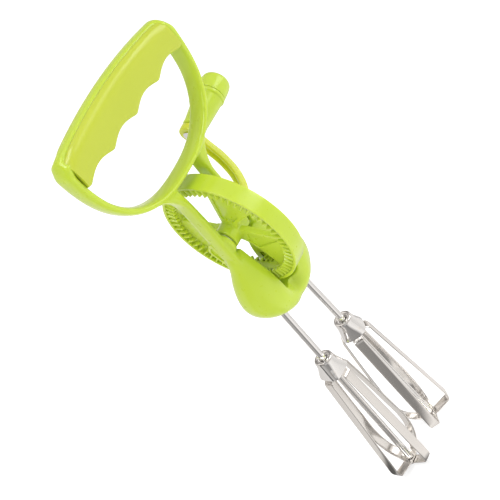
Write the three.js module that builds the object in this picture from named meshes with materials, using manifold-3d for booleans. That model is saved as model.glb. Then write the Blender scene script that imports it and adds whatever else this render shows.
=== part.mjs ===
// Hand-cranked egg beater with a D handle, a crown gear between two legs and two four-winged beaters.
// Millimetres, +Z up along the handle, +X along the gear's axle to the crank. The origin is the middle of the grip.
// Everything below is drawn from the axle's centre, and the whole drive is hung under the grip at the end.
import * as THREE from 'three';
import { mergeVertices } from 'three/addons/utils/BufferGeometryUtils.js';
import Module from 'manifold-3d';

const wasm = await Module();
wasm.setup();

// Driving dimensions
const GRIP_HEIGHT = 93;          // axle's centre to the middle of the grip
const GAP = 0.3;                 // left between pieces that touch
const RUNNING_GAP = 0.15;        // left round a turning pin

const HANDLE_HALF_WIDTH = 47.2;
const HANDLE_CENTRE = 94.9;      // height of the handle's widest line
const HANDLE_DROP = 53.9;        // widest line to the bottom of the D
const HANDLE_ROUNDNESS = 2.5;    // exponent of the D's superellipse
const HANDLE_TOP = 102.9;
const HANDLE_CROWN = 0.0027;     // how fast the bowed top falls away, per mm squared
const HANDLE_HALF_DEPTH = 5.7;
const BAND_SIDE = 4.9;           // thickness of the D's band at its sides
const BAND_BOTTOM = 3.9;
const BAND_TOP = 3.9;

const GRIP_HALF_LENGTH = 41.5;
const GRIP_BOTTOM = 81.2;
const GRIP_HALF_DEPTH = 7.4;
const FINGER_PITCH = 20.4;
const FINGER_DEPTH = 3.2;

const LEG_OUTER = 14.2;
const LEG_INNER = 9.2;
const LEG_HALF_DEPTH = 5;
const BOSS_RADIUS = 6.8;
const BOSS_FACE = 8;             // where the legs' bosses stop beside the gear's hub

const NOTCH_HALF_WIDTH = 6.6;
const NOTCH_BOTTOM = -41.4;
const NOTCH_CORNER = 4.6;
const YOKE_WAIST = 0.6;          // how far the yoke's middle is pinched between its bulbs, beside the notch
const BELLY_WAIST = 0.2;         // and below the notch
const BULB_CENTRE = 13;

const GEAR_RADIUS = 36;
const GEAR_HALF_WIDTH = 4.65;
const GEAR_BAND = 1.5;           // thickness of the smooth outer band
const GEAR_TEETH = 60;
const TOOTH_ROOT = 2.4;          // half thickness of the toothed ring
const TOOTH_TIP = 4.55;
const TOOTH_INNER = 29.4;
const SPOKE_HALF_THICKNESS = 1.7;
const SPOKE_POCKET = 0.7;        // depth of the pocket in each spoke's face
const HUB_RADIUS = 6.2;
const HUB_HALF_LENGTH = 7;
const AXLE_RADIUS = 2.5;
const SPOKE_TURNS = [30, 120, -105]; // degrees from the top to each spoke, towards the front

const PINION_TEETH = 12;
const PINION_TIP = 7.4;
const PINION_ROOT = 4.9;
const PINION_TOP = -28.7;
const PINION_LENGTH = 5.2;

const SHAFT_RADIUS = 1.95;
const SHAFT_OFFSET = 9.9;        // shaft to the middle plane, at the axle's height
const SHAFT_SPLAY = THREE.MathUtils.degToRad(1.6);
const SHAFT_TOP = -20;

const CRANK_LEAN = THREE.MathUtils.degToRad(35);  // crank from upright, towards the back
const CRANK_RADIUS = 41;
const CRANK_HALF_WIDTH = 3.6;
const CRANK_THICKNESS = 3.8;
const CRANK_HUB_RADIUS = 5.2;
const CRANK_HUB_FACE = 19.8;
const AXLE_END = 19.2;
const KNOB_TILT = THREE.MathUtils.degToRad(5);    // knob's axis from the axle's, leaning out along the arm
const KNOB_BASE = 36.4;
const KNOB_SPLIT = 58;
const KNOB_END = 69.5;

const CAP_TOP = -93.5;
const CAP_BOTTOM = -105;
const WING_HALF_WIDTH = 2.8;
const WING_THICKNESS = 0.8;
const WING_RADIUS = 15;
const WING_SHOULDER = -107.4;
const WING_CORNER = -187.6;
const BEATER_BOTTOM = -192.2;
const FAR_BEATER_TURN = Math.PI / 4;

// Materials
function plastic(color, roughness) {
  return new THREE.MeshStandardMaterial({ color, roughness, metalness: 0 });
}
const LIME = plastic(0xb5dc2a, 0.28);
const GRIP_LIME = plastic(0xc1cf3a, 0.4);
const NYLON = plastic(0xe6e4da, 0.5);
const STEEL = new THREE.MeshStandardMaterial({ color: 0xc9c9c7, roughness: 0.22, metalness: 1 });

// Solids
const NO_MOVE = new THREE.Matrix4();

function signedVolume(positions, indices) {
  const [a, b, c] = [new THREE.Vector3(), new THREE.Vector3(), new THREE.Vector3()];
  let volume = 0;
  for (let i = 0; i < indices.length; i += 3) {
    a.fromArray(positions, 3 * indices[i]);
    b.fromArray(positions, 3 * indices[i + 1]);
    c.fromArray(positions, 3 * indices[i + 2]);
    volume += a.dot(b.cross(c));
  }
  return volume;
}

function solid(geometry, matrix = NO_MOVE) {
  const bare = geometry.clone().applyMatrix4(matrix);
  bare.deleteAttribute('normal');
  bare.deleteAttribute('uv');
  const merged = mergeVertices(bare, 1e-4);
  const positions = merged.attributes.position.array;
  const indices = [];
  for (let i = 0; i < merged.index.count; i += 3) {
    const [a, b, c] = [0, 1, 2].map((k) => merged.index.getX(i + k));
    if (a !== b && b !== c && c !== a) indices.push(a, b, c);
  }
  if (signedVolume(positions, indices) < 0) indices.reverse();
  const mesh = { numProp: 3, vertProperties: new Float32Array(positions), triVerts: new Uint32Array(indices) };
  return new wasm.Manifold(new wasm.Mesh(mesh));
}

function joined(solids) {
  return solids.reduce((whole, piece) => whole.add(piece));
}

function piece(name, body, material) {
  const { vertProperties, triVerts } = body.getMesh();
  const geometry = new THREE.BufferGeometry();
  geometry.setAttribute('position', new THREE.BufferAttribute(vertProperties, 3));
  geometry.setIndex(new THREE.BufferAttribute(triVerts, 1));
  geometry.computeVertexNormals();
  const mesh = new THREE.Mesh(geometry, material);
  mesh.name = name;
  return mesh;
}

// A shape drawn as (x, z) and given a depth along Y, or drawn as (y, z) and given a depth along X.
const axes = {
  x: new THREE.Matrix4().makeBasis(
    new THREE.Vector3(0, 1, 0), new THREE.Vector3(0, 0, 1), new THREE.Vector3(1, 0, 0)),
  y: new THREE.Matrix4().makeRotationX(Math.PI / 2),
};

function slab(shape, axis, low, high, bevel = 0, curveSegments = 16) {
  const depth = high - low - 2 * bevel;
  const geometry = new THREE.ExtrudeGeometry(shape, {
    depth, curveSegments, bevelEnabled: bevel > 0, bevelSize: bevel, bevelThickness: bevel,
    bevelOffset: -bevel, bevelSegments: 1,
  });
  geometry.translate(0, 0, -depth / 2);
  geometry.applyMatrix4(axes[axis]);
  const middle = (low + high) / 2;
  geometry.translate(axis === 'x' ? middle : 0, axis === 'y' ? middle : 0, 0);
  return solid(geometry);
}

// A profile of (radius, place along the axis) turned round X or Z.
function turned(profile, axis, segments = 24) {
  const geometry = new THREE.LatheGeometry(profile.map(([r, t]) => new THREE.Vector2(r, t)), segments);
  if (axis === 'x') geometry.rotateZ(-Math.PI / 2);
  else geometry.rotateX(Math.PI / 2);
  return solid(geometry);
}

function rod(radius, axis, low, high, segments = 24) {
  return turned([[0, low], [radius, low], [radius, high], [0, high]], axis, segments);
}

function tube(outer, inner, axis, low, high, segments = 20) {
  return turned([[inner, low], [outer, low], [outer, high], [inner, high], [inner, low]], axis, segments);
}

function shapeOf(points) {
  return new THREE.Shape(points.map(([a, b]) => new THREE.Vector2(a, b)));
}

function spline(points, divisions) {
  const curve = new THREE.SplineCurve(points.map(([a, b]) => new THREE.Vector2(a, b)));
  return curve.getPoints(divisions).map((p) => [p.x, p.y]);
}

// A closed body through a stack of rings with equal numbers of points
function loft(rings) {
  const count = rings[0].length;
  const positions = rings.flat(2);
  const indices = [];
  for (let i = 0; i + 1 < rings.length; i += 1) {
    for (let j = 0; j < count; j += 1) {
      const [a, b] = [i * count + j, i * count + (j + 1) % count];
      indices.push(a, b, b + count, a, b + count, a + count);
    }
  }
  const last = (rings.length - 1) * count;
  for (let j = 1; j + 1 < count; j += 1) {
    indices.push(0, j + 1, j, last, last + j, last + j + 1);
  }
  const geometry = new THREE.BufferGeometry();
  geometry.setAttribute('position', new THREE.Float32BufferAttribute(positions, 3));
  geometry.setIndex(indices);
  return solid(geometry);
}

// A ring of points round Z: a rounded rectangle that is squarer as the power rises
function superEllipse(halfX, halfY, power, z, steps) {
  return Array.from({ length: steps }, (_, i) => {
    const angle = 2 * Math.PI * (i + 0.5) / steps;
    const [c, s] = [Math.cos(angle), Math.sin(angle)];
    const x = halfX * Math.sign(c) * Math.abs(c) ** (2 / power);
    return [x, halfY * Math.sign(s) * Math.abs(s) ** (2 / power), z];
  });
}

const mirrored = (points) => points.map(([a, b]) => [-a, b]).reverse();

// The frame: D handle, two legs and the yoke that houses the pinions, one moulding
function dOutline(halfWidth, drop, top, cornerLift, steps) {
  const points = [];
  for (let i = 0; i <= steps; i += 1) {
    const angle = Math.PI * (1 + i / steps);
    const [c, s] = [Math.cos(angle), Math.sin(angle)];
    const power = 2 / HANDLE_ROUNDNESS;
    const x = halfWidth * Math.sign(c) * Math.abs(c) ** power;
    points.push([x, HANDLE_CENTRE - drop * Math.abs(s) ** power]);
  }
  const shoulder = halfWidth - cornerLift;
  for (let i = 0; i <= steps / 2; i += 1) {
    const x = shoulder * (1 - 4 * i / steps);
    points.push([x, top - HANDLE_CROWN * x * x]);
  }
  return points;
}

function handleLoop() {
  const outline = shapeOf(dOutline(HANDLE_HALF_WIDTH, HANDLE_DROP, HANDLE_TOP, 2.2, 40));
  const opening = dOutline(HANDLE_HALF_WIDTH - BAND_SIDE, HANDLE_DROP - BAND_BOTTOM, HANDLE_TOP - BAND_TOP, 1.5, 40);
  outline.holes.push(shapeOf(opening));
  return slab(outline, 'y', -HANDLE_HALF_DEPTH, HANDLE_HALF_DEPTH, 1.3);
}

function leg(side) {
  const outer = spline([[24, 44.5], [17, 40], [13.2, 33], [12.6, 24], [LEG_OUTER, 2], [LEG_OUTER + 0.6, -16]], 14);
  const inner = [[LEG_INNER, -20], [LEG_INNER - 0.4, 0], [LEG_INNER + 0.2, 43.5]];
  const outline = [...outer, [LEG_OUTER, -24], ...inner, [LEG_INNER, 45.6]];
  const points = outline.map(([x, z]) => [side * x, z]);
  return slab(shapeOf(side > 0 ? points : points.reverse()), 'y', -LEG_HALF_DEPTH, LEG_HALF_DEPTH, 1);
}

// Half width, half depth and height of the yoke's sections, from its belly up into the legs
const YOKE_SECTIONS = [[2, 2.4, -56], [8, 7.4, -54.8], [13.4, 10.3, -52.2], [18.8, 12.2, -48.2], [23, 13.4, -42.6],
  [24.6, 13.8, -36.4], [23.7, 13.2, -30], [20.8, 11.6, -23], [17, 8.3, -15.5], [LEG_OUTER, 5.2, -7]];

function pinched([x, y, z]) {
  const middle = Math.max(0, 1 - Math.abs(x) / BULB_CENTRE);
  const beside = THREE.MathUtils.smoothstep(z, -51, -42);
  const waist = BELLY_WAIST + (YOKE_WAIST - BELLY_WAIST) * beside;
  return [x, y * (1 - waist * middle * middle), z];
}

function yokeBody() {
  const curve = new THREE.CatmullRomCurve3(YOKE_SECTIONS.map((p) => new THREE.Vector3(...p)));
  return loft(curve.getPoints(18).map((p) => superEllipse(p.x, p.y, 2.4, p.z, 36).map(pinched)));
}

function notch() {
  const shape = new THREE.Shape();
  const [side, corner] = [NOTCH_HALF_WIDTH - NOTCH_CORNER, NOTCH_BOTTOM + NOTCH_CORNER];
  shape.moveTo(-NOTCH_HALF_WIDTH, 0);
  shape.lineTo(-NOTCH_HALF_WIDTH, corner);
  shape.absarc(-side, corner, NOTCH_CORNER, Math.PI, 1.5 * Math.PI, false);
  shape.absarc(side, corner, NOTCH_CORNER, 1.5 * Math.PI, 2 * Math.PI, false);
  shape.lineTo(NOTCH_HALF_WIDTH, 0);
  return slab(shape, 'y', -20, 20, 0, 6);
}

// Space in the yoke for a pinion, its shaft, its bush and the blind bearing above it
function pinionSpace() {
  const [bearing, bore] = [SHAFT_RADIUS + RUNNING_GAP, SHAFT_RADIUS + GAP];
  return turned([[0, SHAFT_TOP + 0.5], [bearing, SHAFT_TOP + 0.5], [bearing, -27.6], [8.2, -27.6], [8.2, -37.2],
    [bore, -37.2], [bore, -42.2], [4.1, -42.2], [4.1, -70], [0, -70]], 'z', 24);
}

// The step on a leg's back edge, where the leg starts to spread into the yoke, and the pocket in the step
function ledge(side) {
  const shape = shapeOf([[2.6, 4.6], [2.6, -13], [5, -13], [6.2, -9], [8.3, -3.2], [8.3, -0.4], [5, 3.6]]);
  return side > 0 ? slab(shape, 'x', 10.4, 13.7) : slab(shape, 'x', -13.7, -10.4);
}

function ledgePocket(side) {
  const shape = shapeOf([[3.4, 1.6], [3.4, -8.4], [5.2, -8.4], [7.2, -3], [7.2, -0.9], [5.2, 1.4]]);
  return side > 0 ? slab(shape, 'x', 12.9, 17) : slab(shape, 'x', -17, -12.9);
}

// The frame that stands on a shaft's axis: Z along the shaft, the axle's height at 0
function shaftFrame(side) {
  const place = new THREE.Matrix4().makeRotationY(-side * SHAFT_SPLAY);
  return place.setPosition(side * SHAFT_OFFSET, 0, 0);
}

function handleFrame() {
  const ringSweep = rod(GEAR_RADIUS + 1.2, 'x', -NOTCH_HALF_WIDTH, NOTCH_HALF_WIDTH, 60);
  const hubSweep = rod(HUB_RADIUS + 1, 'x', -BOSS_FACE, BOSS_FACE);
  const boss = rod(BOSS_RADIUS, 'x', BOSS_FACE, LEG_INNER + 1);
  const bosses = [boss, boss.mirror([1, 0, 0])];
  const whole = joined([handleLoop(), leg(-1), leg(1), ledge(-1), ledge(1), yokeBody().subtract(notch()), ...bosses]);
  const axleBore = rod(AXLE_RADIUS + RUNNING_GAP, 'x', -12.6, 30);
  const shaftSpaces = [-1, 1].map((side) => pinionSpace().transform(shaftFrame(side).elements));
  const cuts = [ringSweep, hubSweep, axleBore, ledgePocket(-1), ledgePocket(1), ...shaftSpaces];
  return cuts.reduce((body, cut) => body.subtract(cut), whole);
}

// The grip, seated under the D's top band, with four finger grooves
function gripInsert() {
  const steps = 48;
  const top = HANDLE_TOP - BAND_TOP - GAP;
  const sections = Array.from({ length: steps + 1 }, (_, i) => {
    const x = GRIP_HALF_LENGTH * (2 * i / steps - 1);
    const wave = Math.sqrt(Math.sin(Math.PI * x / FINGER_PITCH) ** 2 + 0.02);
    const [low, high] = [GRIP_BOTTOM + FINGER_DEPTH * wave, top - HANDLE_CROWN * x * x];
    const ring = superEllipse((high - low) / 2, GRIP_HALF_DEPTH, 3.2, x, 14);
    return ring.map(([up, across, along]) => [along, across, (high + low) / 2 + up]);
  });
  return loft(sections);
}

// The drive gear: smooth outer band, teeth on both faces, three swept spokes and a hub
function gearBand() {
  const inner = GEAR_RADIUS - GEAR_BAND;
  const [band, ring] = [GEAR_HALF_WIDTH, TOOTH_ROOT];
  return turned([[TOOTH_INNER, -ring], [inner, -ring], [inner, -band], [GEAR_RADIUS, -band], [GEAR_RADIUS, band],
    [inner, band], [inner, ring], [TOOTH_INNER, ring], [TOOTH_INNER, -ring]], 'x', 72);
}

function crownTeeth() {
  const pitch = 2 * Math.PI / GEAR_TEETH;
  const outer = GEAR_RADIUS - GEAR_BAND + 0.2;
  const teeth = [];
  for (let i = 0; i < GEAR_TEETH; i += 1) {
    for (const side of [-1, 1]) {
      const profile = [[-0.95, TOOTH_ROOT - 0.2], [-0.42, TOOTH_TIP], [0.42, TOOTH_TIP], [0.95, TOOTH_ROOT - 0.2]];
      const shape = shapeOf(side > 0 ? profile : mirrored(profile).map(([w, h]) => [w, -h]).reverse());
      const geometry = new THREE.ExtrudeGeometry(shape, { depth: outer - TOOTH_INNER, bevelEnabled: false });
      geometry.applyMatrix4(new THREE.Matrix4().makeBasis(
        new THREE.Vector3(0, 1, 0), new THREE.Vector3(1, 0, 0), new THREE.Vector3(0, 0, -1)));
      geometry.translate(0, 0, -TOOTH_INNER);
      geometry.rotateX((i + 0.5) * pitch);
      teeth.push(solid(geometry));
    }
  }
  return teeth;
}

// A spoke from the axle up, as (towards the back, up): straight behind, swept wide in front, with a pocket
const SPOKE_OUTLINE = [[3.8, 0], [4, 4.6], [8.6, 26], [9.4, 29], [0, 29.9], [-10, 28.2], [-16, 25.2], [-14.2, 22.6],
  [-11, 18.6], [-7.3, 13.8], [-4.8, 9.4], [-3.8, 4], [-3.8, 0]];
const POCKET_OUTLINE = [[6.6, 26.6], [3.4, 9.4], [-2.8, 9.4], [-6, 15]];

function spokes() {
  const [low, high] = [SPOKE_HALF_THICKNESS - SPOKE_POCKET, SPOKE_HALF_THICKNESS + 1];
  const spoke = slab(shapeOf(SPOKE_OUTLINE), 'x', -SPOKE_HALF_THICKNESS, SPOKE_HALF_THICKNESS);
  const pocketed = spoke.subtract(slab(shapeOf(POCKET_OUTLINE), 'x', -high, -low))
    .subtract(slab(shapeOf(POCKET_OUTLINE), 'x', low, high));
  return SPOKE_TURNS.map((degrees) => {
    const turn = new THREE.Matrix4().makeRotationX(THREE.MathUtils.degToRad(degrees));
    return pocketed.transform(turn.elements);
  });
}

function driveGear() {
  const hub = rod(HUB_RADIUS, 'x', -HUB_HALF_LENGTH, HUB_HALF_LENGTH);
  const whole = joined([gearBand(), ...crownTeeth(), ...spokes(), hub]);
  return whole.subtract(rod(AXLE_RADIUS + GAP, 'x', -20, 20));
}

function pinion() {
  const points = [];
  const pitch = 2 * Math.PI / PINION_TEETH;
  const flanks = [[-0.3, PINION_ROOT], [-0.205, PINION_ROOT + 0.6], [-0.075, PINION_TIP], [0.075, PINION_TIP],
    [0.205, PINION_ROOT + 0.6], [0.3, PINION_ROOT]];
  for (let i = 0; i < PINION_TEETH; i += 1) {
    for (const [share, radius] of flanks) {
      const angle = (i + share) * pitch;
      points.push([radius * Math.cos(angle), radius * Math.sin(angle)]);
    }
  }
  const geometry = new THREE.ExtrudeGeometry(shapeOf(points), { depth: PINION_LENGTH, bevelEnabled: false });
  geometry.translate(0, 0, PINION_TOP - PINION_LENGTH);
  return solid(geometry).subtract(rod(SHAFT_RADIUS + GAP, 'z', -60, 0));
}

// The crank: an arm that bows outwards clear of the handle, a channel on its inner face, and the knob
const CRANK_PATH = [[17.2, 2], [22.6, 6], [27.3, 13], [30.4, 22], [32.1, 32], [34, CRANK_RADIUS]];

function crankProfile(thickness, inward) {
  const curve = new THREE.SplineCurve(CRANK_PATH.map(([x, z]) => new THREE.Vector2(x, z)));
  const [low, high] = [[], []];
  const steps = 24;
  for (let i = 0; i <= steps; i += 1) {
    const point = curve.getPoint(i / steps);
    const tangent = curve.getTangent(i / steps);
    const normal = new THREE.Vector2(tangent.y, -tangent.x);
    const outer = point.clone().addScaledVector(normal, CRANK_THICKNESS / 2);
    const inner = outer.clone().addScaledVector(normal, -thickness);
    low.push([outer.x, outer.y]);
    high.push([inner.x, inner.y]);
  }
  return inward ? shapeOf([...low, ...high.reverse()]) : shapeOf([...low.reverse(), ...high]);
}

// The frame the knob and its pin are drawn in: X along the knob, tilted about the end of the arm
function knobFrame() {
  const tilt = new THREE.Matrix4().makeRotationY(-KNOB_TILT);
  const toOrigin = new THREE.Matrix4().makeTranslation(-KNOB_BASE, 0, 0);
  return new THREE.Matrix4().makeTranslation(KNOB_BASE, 0, CRANK_RADIUS).multiply(tilt).multiply(toOrigin);
}

const onKnob = (body) => body.transform(knobFrame().elements);

function crankArm() {
  const rib = 1.5;
  const floor = slab(crankProfile(1.9, true), 'y', -CRANK_HALF_WIDTH, CRANK_HALF_WIDTH);
  const ribs = [-1, 1].map((side) => {
    const [low, high] = [side * CRANK_HALF_WIDTH, side * (CRANK_HALF_WIDTH - rib)].sort((a, b) => a - b);
    return slab(crankProfile(CRANK_THICKNESS, true), 'y', low, high);
  });
  const hub = rod(CRANK_HUB_RADIUS, 'x', 15.6, CRANK_HUB_FACE);
  const end = onKnob(rod(6.2, 'x', 31.9, KNOB_BASE - 0.4));
  const pinHole = onKnob(rod(2 + GAP, 'x', 20, 50));
  const axleHole = rod(AXLE_RADIUS + GAP, 'x', 0, 40);
  const pinSeat = onKnob(rod(3.8, 'x', 26, 31.8));
  const screwSeat = rod(3.4, 'x', AXLE_END + 0.1, 27);
  const cuts = [axleHole, pinHole, pinSeat, screwSeat];
  return cuts.reduce((body, cut) => body.subtract(cut), joined([floor, ...ribs, hub, end]));
}

function crankScrew() {
  const seat = AXLE_END + GAP;
  return turned([[0, 14.5], [1.1, 14.5], [1.1, seat], [3.1, seat], [3.1, seat + 0.6], [2.4, seat + 1.2],
    [0, seat + 1.4]], 'x');
}

function axle() {
  const profile = [[0, -12], [AXLE_RADIUS - 0.4, -12], [AXLE_RADIUS, -11.6], [AXLE_RADIUS, AXLE_END],
    [1.5, AXLE_END], [1.5, 14], [0, 14]];
  return turned(profile, 'x', 32);
}

function knobBody() {
  return turned([[2 + RUNNING_GAP, KNOB_BASE], [5.7, KNOB_BASE], [6.2, KNOB_BASE + 0.8], [6.1, KNOB_BASE + 3],
    [6.5, 44], [7.1, 51], [7.5, 56], [8.1, 56.6], [8.1, 57.6], [7.7, KNOB_SPLIT], [4.4, KNOB_SPLIT], [4.4, 54],
    [2 + RUNNING_GAP, 54], [2 + RUNNING_GAP, KNOB_BASE]], 'x', 28);
}

function knobCap() {
  return turned([[0, 56.9], [4.1, 56.9], [4.1, KNOB_SPLIT + GAP], [7.6, KNOB_SPLIT + GAP], [7.9, 61], [7.8, 64.5],
    [6.9, 67.4], [4.6, 69], [0, KNOB_END]], 'x', 28);
}

function knobPin() {
  return turned([[0, 31.2], [3.4, 31.2], [3.4, 31.6], [2, 31.6], [2, 54.3], [4, 54.3], [4, 55.6], [0, 56.2]], 'x');
}

// A beater, drawn round its own shaft: rod, pinion, clip, flared cap, two crossing strips and a rivet
const squareRing = (half, power, z) => superEllipse(half, half, power, z, 32);

function wingCap() {
  const wall = 0.8;
  const outer = loft([squareRing(7.4, 3.6, CAP_BOTTOM), squareRing(6.6, 3, -101.5), squareRing(5.9, 2.3, -98),
    squareRing(5.5, 2, CAP_TOP)]);
  const inner = loft([squareRing(7.4 - wall, 3.6, CAP_BOTTOM - 1), squareRing(6.6 - wall, 3, -101.5),
    squareRing(5.9 - wall, 2.3, -98), squareRing(5.5 - wall, 2, CAP_TOP - 1.6)]);
  return outer.subtract(inner).subtract(rod(SHAFT_RADIUS + GAP, 'z', -120, 0));
}

// Half of a strip's line from the cap to the shaft's end, as (out, up): a bent corner or one long bend
const WING_TOP = [[4.2, -100.4], [5.1, -104.8], [8.6, WING_SHOULDER]];
const BENT_WING = [[WING_RADIUS - 0.3, WING_CORNER + 2.6], [WING_RADIUS - 0.3, WING_CORNER + 0.4],
  [WING_RADIUS - 1.3, WING_CORNER - 1.4], [WING_RADIUS - 3, WING_CORNER - 2.4]];
const CURVED_WING = [[12.6, -152], [13.9, -166], [14, -173], [13.1, -179.5], [10.9, -185], [7.6, -189.3]];

function wingPath(bottom) {
  const end = [[3.2, bottom], [0, bottom]];
  const curved = [...WING_TOP, ...CURVED_WING, ...end];
  const bent = [...WING_TOP, ...BENT_WING, ...end];
  return [...curved, ...mirrored(bent).slice(1)];
}

function ribbon(path, thickness) {
  const [left, right] = [[], []];
  path.forEach(([x, z], i) => {
    const [before, after] = [path[Math.max(i - 1, 0)], path[Math.min(i + 1, path.length - 1)]];
    const here = new THREE.Vector2(x, z);
    const into = here.clone().sub(new THREE.Vector2(...before)).normalize();
    const out = new THREE.Vector2(...after).sub(here).normalize();
    const along = into.add(out).normalize();
    const normal = new THREE.Vector2(-along.y, along.x).multiplyScalar(thickness / 2);
    left.push([x + normal.x, z + normal.y]);
    right.push([x - normal.x, z - normal.y]);
  });
  return shapeOf([...left, ...right.reverse()]);
}

function wingStrip(bottom, turn) {
  const strip = slab(ribbon(wingPath(bottom), WING_THICKNESS), 'y', -WING_HALF_WIDTH, WING_HALF_WIDTH);
  const drilled = strip.subtract(rod(SHAFT_RADIUS + GAP, 'z', bottom - 3, bottom + 3));
  return drilled.transform(new THREE.Matrix4().makeRotationZ(turn).elements);
}

function beater(side, name) {
  const group = new THREE.Group();
  const lower = BEATER_BOTTOM - WING_THICKNESS - GAP;
  const shaftEnd = lower - WING_THICKNESS;
  const phase = side < 0 ? 0 : FAR_BEATER_TURN;
  const shaft = turned([[0, shaftEnd], [SHAFT_RADIUS, shaftEnd], [SHAFT_RADIUS, SHAFT_TOP - 0.4],
    [SHAFT_RADIUS - 0.4, SHAFT_TOP], [0, SHAFT_TOP]], 'z', 24);
  const rivet = turned([[0, shaftEnd - 2.2], [1.8, shaftEnd - 1.9], [3, shaftEnd - 1], [3, shaftEnd - GAP],
    [0, shaftEnd - GAP]], 'z', 24);
  group.add(
    piece(`shaft_${name}`, shaft, STEEL),
    piece(`pinion_${name}`, pinion(), LIME),
    piece(`retaining_clip_${name}`, tube(3.7, SHAFT_RADIUS + GAP, 'z', -35.6, -34.7), STEEL),
    piece(`wing_cap_${name}`, wingCap().transform(new THREE.Matrix4().makeRotationZ(phase).elements), STEEL),
    piece(`wing_strip_a_${name}`, wingStrip(BEATER_BOTTOM, phase), STEEL),
    piece(`wing_strip_b_${name}`, wingStrip(lower, phase + Math.PI / 2), STEEL),
    piece(`end_rivet_${name}`, rivet, STEEL),
    piece(`shaft_bush_${name}`, tube(3.8, SHAFT_RADIUS + RUNNING_GAP, 'z', -50.6, -42.5), NYLON),
  );
  group.applyMatrix4(shaftFrame(side));
  return group;
}

function crank() {
  const group = new THREE.Group();
  group.add(
    piece('crank_arm', crankArm(), LIME),
    piece('knob_pin', onKnob(knobPin()), STEEL),
    piece('knob', onKnob(knobBody()), LIME),
    piece('knob_cap', onKnob(knobCap()), LIME),
  );
  group.rotation.x = -CRANK_LEAN;
  return group;
}

const drive = new THREE.Group();
drive.add(
  piece('handle_frame', handleFrame(), LIME),
  piece('grip_insert', gripInsert(), GRIP_LIME),
  piece('drive_gear', driveGear(), LIME),
  piece('axle', axle(), STEEL),
  piece('gear_washer_near', tube(4.6, AXLE_RADIUS + GAP, 'x', -BOSS_FACE + 0.2, -HUB_HALF_LENGTH - 0.2), NYLON),
  piece('gear_washer_far', tube(4.6, AXLE_RADIUS + GAP, 'x', HUB_HALF_LENGTH + 0.2, BOSS_FACE - 0.2), NYLON),
  piece('crank_washer', tube(4.6, AXLE_RADIUS + GAP, 'x', LEG_OUTER + 0.4, LEG_OUTER + 1.1), NYLON),
  piece('crank_screw', crankScrew(), STEEL),
  crank(),
  beater(-1, 'near'),
  beater(1, 'far'),
);
drive.position.z = -GRIP_HEIGHT;

const eggBeater = new THREE.Group();
eggBeater.add(drive);
eggBeater.updateMatrixWorld(true);
export default eggBeater;
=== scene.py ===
"""A hand-cranked egg beater in lime plastic and bright steel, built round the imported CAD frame.

Points are drawn in millimetres from the centre of the gear's axle, as the CAD source draws them.
put() turns them into metres in the row frame, whose origin is the middle of the grip.
"""
import math

import bmesh
import bpy
import numpy as np
from mathutils import Matrix, Vector


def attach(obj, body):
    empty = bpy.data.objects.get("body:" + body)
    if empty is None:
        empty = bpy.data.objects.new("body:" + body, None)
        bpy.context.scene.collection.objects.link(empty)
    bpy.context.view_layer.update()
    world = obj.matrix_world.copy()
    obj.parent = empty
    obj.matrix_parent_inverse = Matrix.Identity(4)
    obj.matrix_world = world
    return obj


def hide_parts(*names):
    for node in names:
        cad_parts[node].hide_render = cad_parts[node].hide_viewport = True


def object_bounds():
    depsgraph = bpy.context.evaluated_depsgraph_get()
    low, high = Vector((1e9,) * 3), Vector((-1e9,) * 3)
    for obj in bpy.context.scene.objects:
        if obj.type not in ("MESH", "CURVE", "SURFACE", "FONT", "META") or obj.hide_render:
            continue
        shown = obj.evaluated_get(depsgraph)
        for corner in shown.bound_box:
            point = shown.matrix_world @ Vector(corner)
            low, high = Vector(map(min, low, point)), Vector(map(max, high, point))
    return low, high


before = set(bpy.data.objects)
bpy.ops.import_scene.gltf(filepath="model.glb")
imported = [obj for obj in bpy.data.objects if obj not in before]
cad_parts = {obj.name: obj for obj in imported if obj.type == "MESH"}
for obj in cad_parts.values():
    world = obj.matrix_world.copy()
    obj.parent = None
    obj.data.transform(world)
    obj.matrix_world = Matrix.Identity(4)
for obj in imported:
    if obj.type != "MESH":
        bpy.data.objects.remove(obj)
cad_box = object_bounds()

# ---------------------------------------------------------------- camera
CAMERA_PLACE = (-0.2445, -0.4078, 0.2173)
CAMERA_AZIMUTH, CAMERA_ELEVATION, CAMERA_ROLL = (math.radians(a) for a in (-120.859, 34.485, -42.514))
CAMERA_LENS, CAMERA_SENSOR = 84.28, 36


def camera_axes():
    """The camera's right, up and back: it stands off along back, and is rolled about it."""
    level = math.cos(CAMERA_ELEVATION)
    ahead, across = math.cos(CAMERA_AZIMUTH), math.sin(CAMERA_AZIMUTH)
    back = Vector((level * ahead, level * across, math.sin(CAMERA_ELEVATION)))
    right = Matrix.Rotation(CAMERA_ROLL, 3, back) @ Vector((-across, ahead, 0))
    return right, back.cross(right), back


def make_camera():
    data = bpy.data.cameras.new("camera")
    data.lens = CAMERA_LENS
    data.sensor_width = CAMERA_SENSOR
    camera = bpy.data.objects.new("camera", data)
    bpy.context.scene.collection.objects.link(camera)
    turn = Matrix(camera_axes()).transposed()
    camera.matrix_world = Matrix.Translation(CAMERA_PLACE) @ turn.to_4x4()
    bpy.context.scene.camera = camera


make_camera()

# ---------------------------------------------------------------- sizes in millimetres, from the CAD
MM = 0.001
GRIP_HEIGHT = 93.0

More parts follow.
